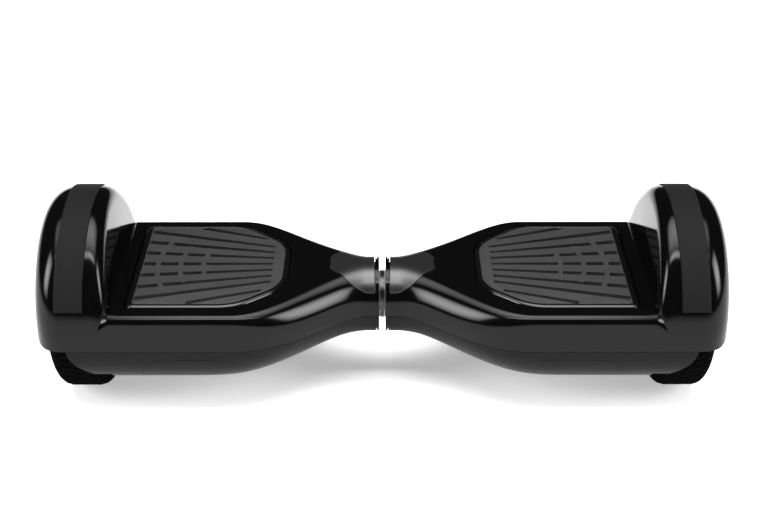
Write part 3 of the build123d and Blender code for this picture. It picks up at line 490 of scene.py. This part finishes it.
def build_pedal_plate():
    """A shallow glossy tray with a rounded rim around the mat, and two plungers under it."""
    profile = [(0, 0, PLATE_LOW_Z), (0, 0, RIM_SIDE_Z)]  # inset, shift of the outer edge, height
    for i in range(9):
        a = pi / 2 * i / 8
        profile.append((0.1 + 4.1 * (1 - cos(a)), 0, RIM_SIDE_Z + 3.1 * sin(a)))
    profile.append((RIM_WIDTH - 0.3, MAT_SHIFT, 109.6))
    profile.append((RIM_WIDTH, MAT_SHIFT, 109.3))
    profile.append((RIM_WIDTH, MAT_SHIFT, MAT_LOW_Z))
    rows = [[(x, y, z) for x, y in pad_outline(inset, shift)] for inset, shift, z in profile]
    plate = loft("pedal_plate", rows)
    for side in (1, -1):
        y = side * PLUNGER_Y
        join(plate, prism("stem", circle(PLUNGER_X, y, STEM_RADIUS, 32), 96, PLATE_LOW_Z + 1))
        join(plate, prism("tip", circle(PLUNGER_X, y, TIP_RADIUS, 24), 87, 97))
    return clean(plate, 40)


def groove(y_outer, y_inner, x_outer=208.6, x_inner=96.5, wide=6.2, narrow=3.4):
    """The outline of a tapering groove in the mat, from the fender end to the nose end."""
    start, end = Vector((x_outer, y_outer)), Vector((x_inner, y_inner))
    d = (end - start).normalized()
    n = Vector((-d.y, d.x))
    points = []
    for centre, half, sign in ((start, wide / 2, -1), (end, narrow / 2, 1)):
        for i in range(9):
            t = pi / 2 - pi * i / 8
            p = centre + d * (sign * 0.5 * half * cos(t)) + n * (half * sin(t) * sign)
            points.append((p.x, p.y))
    return points


def arc_bar(radius, y_low, y_high, width=4.4):
    """The outline of a curved bridge across the grooves, at the mat's own level."""
    outer, inner = [], []
    for i in range(25):
        y = between(y_low, y_high, i / 24)
        a = asin(max(-1, min(1, y / radius)))
        outer.append((BAR_CENTRE_X + (radius + width / 2) * cos(a), (radius + width / 2) * sin(a)))
        inner.append((BAR_CENTRE_X + (radius - width / 2) * cos(a), (radius - width / 2) * sin(a)))
    return outer + inner[::-1]


def build_foot_mat():
    inset = RIM_WIDTH + 0.15
    profile = [(inset, MAT_LOW_Z), (inset, PAD_TOP_Z - MAT_EDGE)]
    for i in range(1, 4):
        a = pi / 2 * i / 3
        profile.append((inset + MAT_EDGE * (1 - cos(a)), PAD_TOP_Z - MAT_EDGE + MAT_EDGE * sin(a)))
    rows = [[(x, y, z) for x, y in pad_outline(way_in, MAT_SHIFT)] for way_in, z in profile]
    mat = loft("foot_mat", rows)
    outlines = [groove(0, 0)]
    for y_outer, y_inner in GROOVES:
        for side in (1, -1):
            outlines.append(groove(side * y_outer, side * y_inner))
    y_outer, y_inner, *rest = SIDE_GROOVE
    for side in (1, -1):
        outlines.append(groove(side * y_outer, side * y_inner, *rest))
    for outline in outlines:
        cutter = prism("groove", outline, MAT_FLOOR_Z, PAD_TOP_Z + 2)
        for radius, low, high in MAT_BARS:
            cut(cutter, prism("bar", arc_bar(radius, low, high), MAT_FLOOR_Z - 2, PAD_TOP_Z + 4))
        cut(mat, cutter)
    return clean(mat, 30)


# ---------------------------------------------------------------- the tyre and the strip

AROUND = 528  # points around the tyre
PITCHES = 66  # tread blocks around it
COLUMN = 9.2  # width of one column of blocks
SHOULDER = 13  # width of the rounded shoulder
CROWN_STEPS = 30


def tyre_profile():
    """The closed profile of the tyre as (x, radius, share of the tread's depth), from bead to bead."""
    low_x, high_x = WHEEL_X - TYRE_WIDTH / 2, WHEEL_X + TYRE_WIDTH / 2
    bead = RIM_RADIUS + 0.05
    inner_side = (
        (275.5, bead), (260, bead), (244.5, bead), (243, bead + 3), (238.5, bead + 3.1),
        (low_x + 1.2, bead + 3.6), (low_x + 0.3, bead + 4.8), (low_x, bead + 7.9),
    )
    outer_side = (
        (high_x - 0.3, bead + 4.8), (high_x - 1.2, bead + 3.6), (281.5, bead + 3.1), (277, bead + 3),
    )
    shoulder_r = RIM_RADIUS + 8

    def shoulder(step):
        """Way in from the side, radius and tread share at a step of 14 around the shoulder."""
        a = pi / 2 * step / 14
        radius = shoulder_r + (WHEEL_RADIUS - RIM_RADIUS - 8) * sin(a)
        return SHOULDER * (1 - cos(a)), radius, min(1, max(0, (step - 4) / 2))

    profile = [(x, r, 0) for x, r in inner_side]
    for step in range(1, 15):
        way, radius, tread = shoulder(step)
        profile.append((low_x + way, radius, tread))
    for i in range(1, CROWN_STEPS):
        profile.append((between(low_x + SHOULDER, high_x - SHOULDER, i / CROWN_STEPS), WHEEL_RADIUS, 1))
    for step in range(14, -1, -1):
        way, radius, tread = shoulder(step)
        profile.append((high_x - way, radius, tread))
    return profile + [(x, r, 0) for x, r in outer_side]


def tread_depth(along, across, pitch):
    """The depth of the brick tread: along the way round, and across in columns."""
    index = floor(across)
    local = across - index
    slant = (local - 0.5) * 2.6
    phase = ((along + slant + (index % 2) * 0.45 * pitch) / pitch) % 1.0
    gap = abs(phase - 0.5) * pitch
    lateral = 1 - min(1, max(0, (gap - 0.55) / 0.6))
    if local > 0.86:
        lateral *= 0.15
    line = 1 - min(1, max(0, (min(local, 1 - local) * COLUMN - 0.15) / 0.5))
    return max(1.9 * lateral, 0.8 * line)


def build_tyre():
    """A solid tyre whose tread is a brick pattern: lateral grooves that step across five columns."""
    profile = tyre_profile()
    run = [0.0]
    for (x0, r0, _), (x1, r1, _) in zip(profile, profile[1:]):
        run.append(run[-1] + hypot(x1 - x0, r1 - r0))
    treaded = [i for i, p in enumerate(profile) if p[2] > 0]
    middle = (run[treaded[0]] + run[treaded[-1]]) / 2
    pitch = 2 * pi * WHEEL_RADIUS / PITCHES
    points = []
    for j in range(AROUND):
        angle = 2 * pi * j / AROUND
        for (x, r, tread), u in zip(profile, run):
            depth = 0.0
            if tread > 0:
                depth = tread * tread_depth(angle * WHEEL_RADIUS, (u - middle) / COLUMN + 2.5, pitch)
            radius = r - depth
            points.append((x, radius * cos(angle), AXLE_Z + radius * sin(angle)))
    n = len(profile)
    faces = []
    for j in range(AROUND):
        a, b = j * n, ((j + 1) % AROUND) * n
        for i in range(n):
            k = (i + 1) % n
            faces.append((a + i, b + i, b + k, a + k))
    return clean(face_outwards(mesh_object("tyre", points, faces)), 50)


def build_strip():
    """The rubber strip that runs over the fender's crown."""
    base, top = FENDER_RADIUS - 0.25, STRIP_RADIUS
    half = STRIP_HALF_WIDTH
    profile = [(-half + 0.2, base), (-half, base + 0.5)]
    profile += [(-half + 0.25, top - 0.45), (-half + 0.8, top - 0.08), (-half + 1.5, top)]
    profile += [(-half + 1.5 + (2 * half - 3) * i / 10, top) for i in range(1, 11)]
    profile += [(half - 0.8, top - 0.08), (half - 0.25, top - 0.45)]
    profile += [(half, base + 0.5), (half - 0.2, base)]
    rows = []
    low = radians(STRIP_LOW_ANGLE)
    pieces = 150
    for i in range(pieces + 1):
        a = low + (pi - 2 * low) * i / pieces
        # The strip leans a little: its middle is nearer the board's middle at the top
        centre = 260.5 - 3.0 * sin(a) ** 2
        # Its ends thin out over their last two steps
        taper = min(1.0, min(i, pieces - i) / 1.5)
        row = []
        for x, r in profile:
            radius = min(r, between(base + 0.9, r, 0.4 + 0.6 * taper))
            row.append((centre + x, radius * cos(a), AXLE_Z + radius * sin(a)))
        rows.append(row)
    return clean(loft("fender_bumper", rows), 40)


# ---------------------------------------------------------------- materials

def material(
    name, color, rough, metal=0.0, ior=1.45, vary=0.0, vary_scale=40.0, rough_vary=0.0,
    bump=0.0, bump_scale=400.0, cells=False, stretch=None,
):
    """A node material: colour and roughness drift with noise, and fine noise gives the surface its grain."""
    mat = bpy.data.materials.new(name)
    mat.use_nodes = True
    tree = mat.node_tree
    tree.nodes.clear()
    out = tree.nodes.new("ShaderNodeOutputMaterial")
    shader = tree.nodes.new("ShaderNodeBsdfPrincipled")
    tree.links.new(shader.outputs["BSDF"], out.inputs["Surface"])
    shader.inputs["Metallic"].default_value = metal
    shader.inputs["IOR"].default_value = ior
    place = tree.nodes.new("ShaderNodeTexCoord")
    source = place.outputs["Object"]
    if stretch:
        mapping = tree.nodes.new("ShaderNodeMapping")
        mapping.inputs["Scale"].default_value = stretch
        tree.links.new(source, mapping.inputs["Vector"])
        source = mapping.outputs["Vector"]
    drift = tree.nodes.new("ShaderNodeTexNoise")
    drift.inputs["Scale"].default_value = vary_scale
    drift.inputs["Detail"].default_value = 5.0
    tree.links.new(source, drift.inputs["Vector"])
    mix = tree.nodes.new("ShaderNodeMix")
    mix.data_type = "RGBA"
    mix.inputs["A"].default_value = (*[c * (1 - vary) for c in color], 1)
    mix.inputs["B"].default_value = (*[min(1, c * (1 + vary)) for c in color], 1)
    tree.links.new(drift.outputs["Fac"], mix.inputs["Factor"])
    tree.links.new(mix.outputs["Result"], shader.inputs["Base Color"])
    spread = tree.nodes.new("ShaderNodeMapRange")
    spread.inputs["To Min"].default_value = max(0.02, rough - rough_vary)
    spread.inputs["To Max"].default_value = min(1, rough + rough_vary)
    tree.links.new(drift.outputs["Fac"], spread.inputs["Value"])
    tree.links.new(spread.outputs["Result"], shader.inputs["Roughness"])
    if bump:
        fine = tree.nodes.new("ShaderNodeTexVoronoi" if cells else "ShaderNodeTexNoise")
        fine.inputs["Scale"].default_value = bump_scale
        tree.links.new(source, fine.inputs["Vector"])
        node = tree.nodes.new("ShaderNodeBump")
        node.inputs["Strength"].default_value = bump
        node.inputs["Distance"].default_value = 0.0006
        tree.links.new(fine.outputs["Distance" if cells else "Fac"], node.inputs["Height"])
        tree.links.new(node.outputs["Normal"], shader.inputs["Normal"])
    return mat


LOOKS = {
    "gloss_shell": dict(
        color=(0.0012, 0.0012, 0.0013), rough=0.1, ior=1.24,
        vary=0.2, vary_scale=9, rough_vary=0.02, bump=0.012, bump_scale=160,
    ),
    # A copy of the gloss shell for the parts that face the floor: its weaker reflection is painted shade for
    # the shadow under the board.
    "shaded_lower_shell": dict(
        color=(0.0085, 0.0085, 0.0087), rough=0.12, ior=1.12,
        vary=0.1, vary_scale=9, rough_vary=0.02, bump=0.012, bump_scale=160,
    ),
    "satin_trim": dict(
        color=(0.007, 0.007, 0.0072), rough=0.3, ior=1.5,
        vary=0.1, rough_vary=0.03, bump=0.05, bump_scale=1400,
    ),
    "smoke_lens": dict(
        color=(0.002, 0.002, 0.0022), rough=0.1, ior=1.34,
        vary=0.15, vary_scale=20, rough_vary=0.02, bump=0.01, bump_scale=300,
    ),
    "led_strip": dict(
        color=(0.75, 0.76, 0.7), rough=0.5,
        vary=0.08, vary_scale=300, bump=0.1, bump_scale=900,
    ),
    "bumper_rubber": dict(
        color=(0.0075, 0.0075, 0.0077), rough=0.6, ior=1.1,
        vary=0.12, vary_scale=120, rough_vary=0.06, bump=0.35, bump_scale=1500,
    ),
    "pad_rim": dict(
        color=(0.002, 0.002, 0.0021), rough=0.12, ior=1.36,
        vary=0.15, vary_scale=12, rough_vary=0.03, bump=0.012, bump_scale=200,
    ),
    "mat_rubber": dict(
        color=(0.019, 0.019, 0.0194), rough=0.5, ior=1.35,
        vary=0.15, vary_scale=90, rough_vary=0.06, bump=0.22, bump_scale=1700,
    ),
    # The frame is die-cast aluminium; this dark grey tone is painted shade, since the frame shows only in the
    # narrow gap between the two necks.
    "cast_frame": dict(
        color=(0.17, 0.17, 0.175), rough=0.6, metal=0.8,
        vary=0.12, vary_scale=60, rough_vary=0.1, bump=0.25, bump_scale=800,
    ),
    "bright_steel": dict(
        color=(0.56, 0.56, 0.57), rough=0.28, metal=1.0,
        vary=0.08, vary_scale=90, rough_vary=0.06, bump=0.06, bump_scale=700, stretch=(6, 1, 1),
    ),
    "dark_steel": dict(
        color=(0.06, 0.06, 0.062), rough=0.38, metal=1.0,
        vary=0.15, vary_scale=150, rough_vary=0.08, bump=0.1, bump_scale=1200,
    ),
    "lamination_steel": dict(
        color=(0.3, 0.31, 0.33), rough=0.45, metal=1.0,
        vary=0.2, vary_scale=60, bump=0.5, bump_scale=60, stretch=(25, 1, 1),
    ),
    "copper_wire": dict(
        color=(0.55, 0.2, 0.07), rough=0.3, metal=1.0,
        vary=0.25, vary_scale=200, bump=0.5, bump_scale=900, stretch=(0.3, 1, 1),
    ),
    "magnet_plate": dict(
        color=(0.5, 0.5, 0.5), rough=0.25, metal=1.0,
        vary=0.06, vary_scale=100, bump=0.05, bump_scale=900,
    ),
    "hub_metal": dict(
        color=(0.2, 0.2, 0.205), rough=0.42, metal=0.8,
        vary=0.1, vary_scale=80, rough_vary=0.08, bump=0.15, bump_scale=1100,
    ),
    "tyre_rubber": dict(
        color=(0.0022, 0.0022, 0.0023), rough=0.8, ior=1.03,
        vary=0.2, vary_scale=70, rough_vary=0.08, bump=0.3, bump_scale=1300,
    ),
    "circuit_board": dict(
        color=(0.015, 0.13, 0.05), rough=0.4,
        vary=0.3, vary_scale=220, bump=0.3, bump_scale=500, cells=True,
    ),
    "bush_brass": dict(
        color=(0.7, 0.48, 0.2), rough=0.3, metal=1.0,
        vary=0.1, vary_scale=90, bump=0.05, bump_scale=900,
    ),
    "cable_sheath": dict(
        color=(0.015, 0.015, 0.015), rough=0.5,
        vary=0.1, vary_scale=90, bump=0.1, bump_scale=900,
    ),
    "battery_wrap": dict(
        color=(0.02, 0.06, 0.25), rough=0.3,
        vary=0.15, vary_scale=30, bump=0.2, bump_scale=90,
    ),
    "cap_rubber": dict(
        color=(0.015, 0.015, 0.0155), rough=0.6, ior=1.4,
        vary=0.1, vary_scale=120, bump=0.2, bump_scale=1400,
    ),
    "button_plastic": dict(
        color=(0.02, 0.02, 0.021), rough=0.3,
        vary=0.1, vary_scale=120, bump=0.05, bump_scale=1400,
    ),
}
MATERIALS = {name: material(name, **look) for name, look in LOOKS.items()}


def dress(obj, slot_name):
    obj.data.materials.clear()
    obj.data.materials.append(MATERIALS[slot_name])


# ---------------------------------------------------------------- the pieces

SLOTS = {entry["node"]: entry["material_slot"] for entry in frame["record"]["subparts"]}
for node, obj in frame["nodes"].items():
    for index in range(max(1, len(obj.data.materials))):
        if index < len(obj.data.materials):
            obj.data.materials[index] = MATERIALS[SLOTS[node]]
        else:
            obj.data.materials.append(MATERIALS[SLOTS[node]])


def use(piece, node):
    """The finished piece stands for its CAD node and moves as it does.

    The bottom cover and the light's lens face the floor, so they get a copy of the shell material whose floor
    reflection is dimmed: painted shade, standing in for the shadow under the board.
    """
    body = next(b for b, nodes in frame["record"]["behaviour"]["bodies"].items() if node in nodes)
    dress(piece, "shaded_lower_shell" if "bottom_cover" in node or "led_lens" in node else SLOTS[node])
    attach(piece, body)
    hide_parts(node)


def port_holes(cover):
    """The holes in the right half's back for the power button and the charging socket."""
    for x, radius in PORT_HOLES:
        cut(cover, prism("port_hole", circle(x, PORT_Z, radius, 48), 60, 130, "Y"))
    clean(cover)


BUILDERS = {
    "top_cover": build_top_cover,
    "bottom_cover": build_bottom_cover,
    "collar_trim": lambda: build_skin_piece("collar_trim", collar_outline(0.7), PIVOT_Z + 1, FAR_Z, "Z"),
    "led_lens": lambda: build_skin_piece("led_lens", lens_outline(0.3), -FAR_Y, 0, "Y"),
    "pedal_plate": build_pedal_plate,
    "foot_mat": build_foot_mat,
    "tyre": build_tyre,
    "fender_bumper": build_strip,
}
for name, builder in BUILDERS.items():
    right = builder()
    left = mirrored(right, f"left_{name}_skin")
    right.name = f"right_{name}_skin"
    if name == "top_cover":
        port_holes(right)
    use(right, f"right_{name}")
    use(left, f"left_{name}")


# ---------------------------------------------------------------- floor, light and camera

FLOOR_HALF = 60.0  # metres
GLOW = {"From Min": 1.2, "From Max": 4.0, "To Min": 0.43, "To Max": 1.0}  # against metres from the board


def floor_sheet():
    """White paper that glows a little, as on a light table, and more away from the board."""
    mesh = bpy.data.meshes.new("floor")
    corners = [(x * FLOOR_HALF, y * FLOOR_HALF, 0) for x, y in ((-1, -1), (1, -1), (1, 1), (-1, 1))]
    mesh.from_pydata(corners, [], [(0, 1, 2, 3)])
    obj = bpy.data.objects.new("floor", mesh)
    bpy.context.scene.collection.objects.link(obj)
    mat = material("floor_paper", (0.8, 0.8, 0.8), 0.95, ior=1.05, vary=0.004, vary_scale=3)
    tree = mat.node_tree
    shader = next(n for n in tree.nodes if n.type == "BSDF_PRINCIPLED")
    shader.inputs["Emission Color"].default_value = (1, 1, 1, 1)
    place = tree.nodes.new("ShaderNodeTexCoord")
    distance = tree.nodes.new("ShaderNodeVectorMath")
    distance.operation = "LENGTH"
    glow = tree.nodes.new("ShaderNodeMapRange")
    for socket, value in GLOW.items():
        glow.inputs[socket].default_value = value
    tree.links.new(place.outputs["Object"], distance.inputs[0])
    tree.links.new(distance.outputs["Value"], glow.inputs["Value"])
    tree.links.new(glow.outputs["Result"], shader.inputs["Emission Strength"])
    mesh.materials.append(mat)


def area(name, place, aim, size, power):
    """A softbox that is brightest in its middle."""
    light = bpy.data.lights.new(name, "AREA")
    light.shape = "RECTANGLE"
    light.size, light.size_y = size
    light.energy = power
    light.use_nodes = True
    tree = light.node_tree
    tree.nodes.clear()
    out = tree.nodes.new("ShaderNodeOutputLight")
    glow = tree.nodes.new("ShaderNodeEmission")
    tree.links.new(glow.outputs["Emission"], out.inputs["Surface"])
    geometry = tree.nodes.new("ShaderNodeNewGeometry")
    split = tree.nodes.new("ShaderNodeSeparateXYZ")
    tree.links.new(geometry.outputs["Parametric"], split.inputs["Vector"])

    def math_node(operation, first, second):
        node = tree.nodes.new("ShaderNodeMath")
        node.operation = operation
        for socket, value in zip(node.inputs, (first, second)):
            if isinstance(value, (int, float)):
                socket.default_value = value
            else:
                tree.links.new(value, socket)
        return node.outputs["Value"]

    humps = []
    for axis in ("X", "Y"):
        value = split.outputs[axis]
        hump = math_node("MULTIPLY", math_node("MULTIPLY", value, math_node("SUBTRACT", 1, value)), 4)
        humps.append(math_node("MAXIMUM", hump, 0))
    tree.links.new(math_node("MULTIPLY", *humps), glow.inputs["Strength"])
    obj = bpy.data.objects.new(name, light)
    obj.location = place
    obj.rotation_euler = (Vector(aim) - Vector(place)).to_track_quat("-Z", "Y").to_euler()
    bpy.context.scene.collection.objects.link(obj)


floor_sheet()
world = bpy.data.worlds.new("studio")
world.use_nodes = True
background = world.node_tree.nodes["Background"]
background.inputs["Color"].default_value = (1, 1, 1, 1)
background.inputs["Strength"].default_value = 0.02
bpy.context.scene.world = world

area("over", (0, 0.05, 2.1), (0, 0, 0), (3.2, 1.7), 215)
area("over_front", (0, -0.85, 2.0), (0, 0, 0), (3.0, 0.35), 75)
area("left_box", (-1.9, -0.7, 1.0), (0, 0, 0.05), (0.8, 1.5), 95)
area("right_box", (1.9, -0.7, 1.0), (0, 0, 0.05), (0.8, 1.5), 95)

bpy.context.scene.view_settings.view_transform = "Standard"
bpy.context.scene.view_settings.look = "None"

LENS_MM = 70.3
ELEVATION = radians(28.5)
DISTANCE = 1.32
TARGET = Vector((0, 0, 0.108))
PITCH_TRIM = radians(0.37)
YAW_TRIM = radians(-0.076)

camera_data = bpy.data.cameras.new("camera")
camera_data.lens = LENS_MM
camera_data.sensor_width = 36
camera_data.clip_end = 50
camera = bpy.data.objects.new("camera", camera_data)
bpy.context.scene.collection.objects.link(camera)
camera.location = TARGET + DISTANCE * Vector((0, -cos(ELEVATION), sin(ELEVATION)))
camera.rotation_euler = (pi / 2 - ELEVATION + PITCH_TRIM, 0, YAW_TRIM)
bpy.context.scene.camera = camera
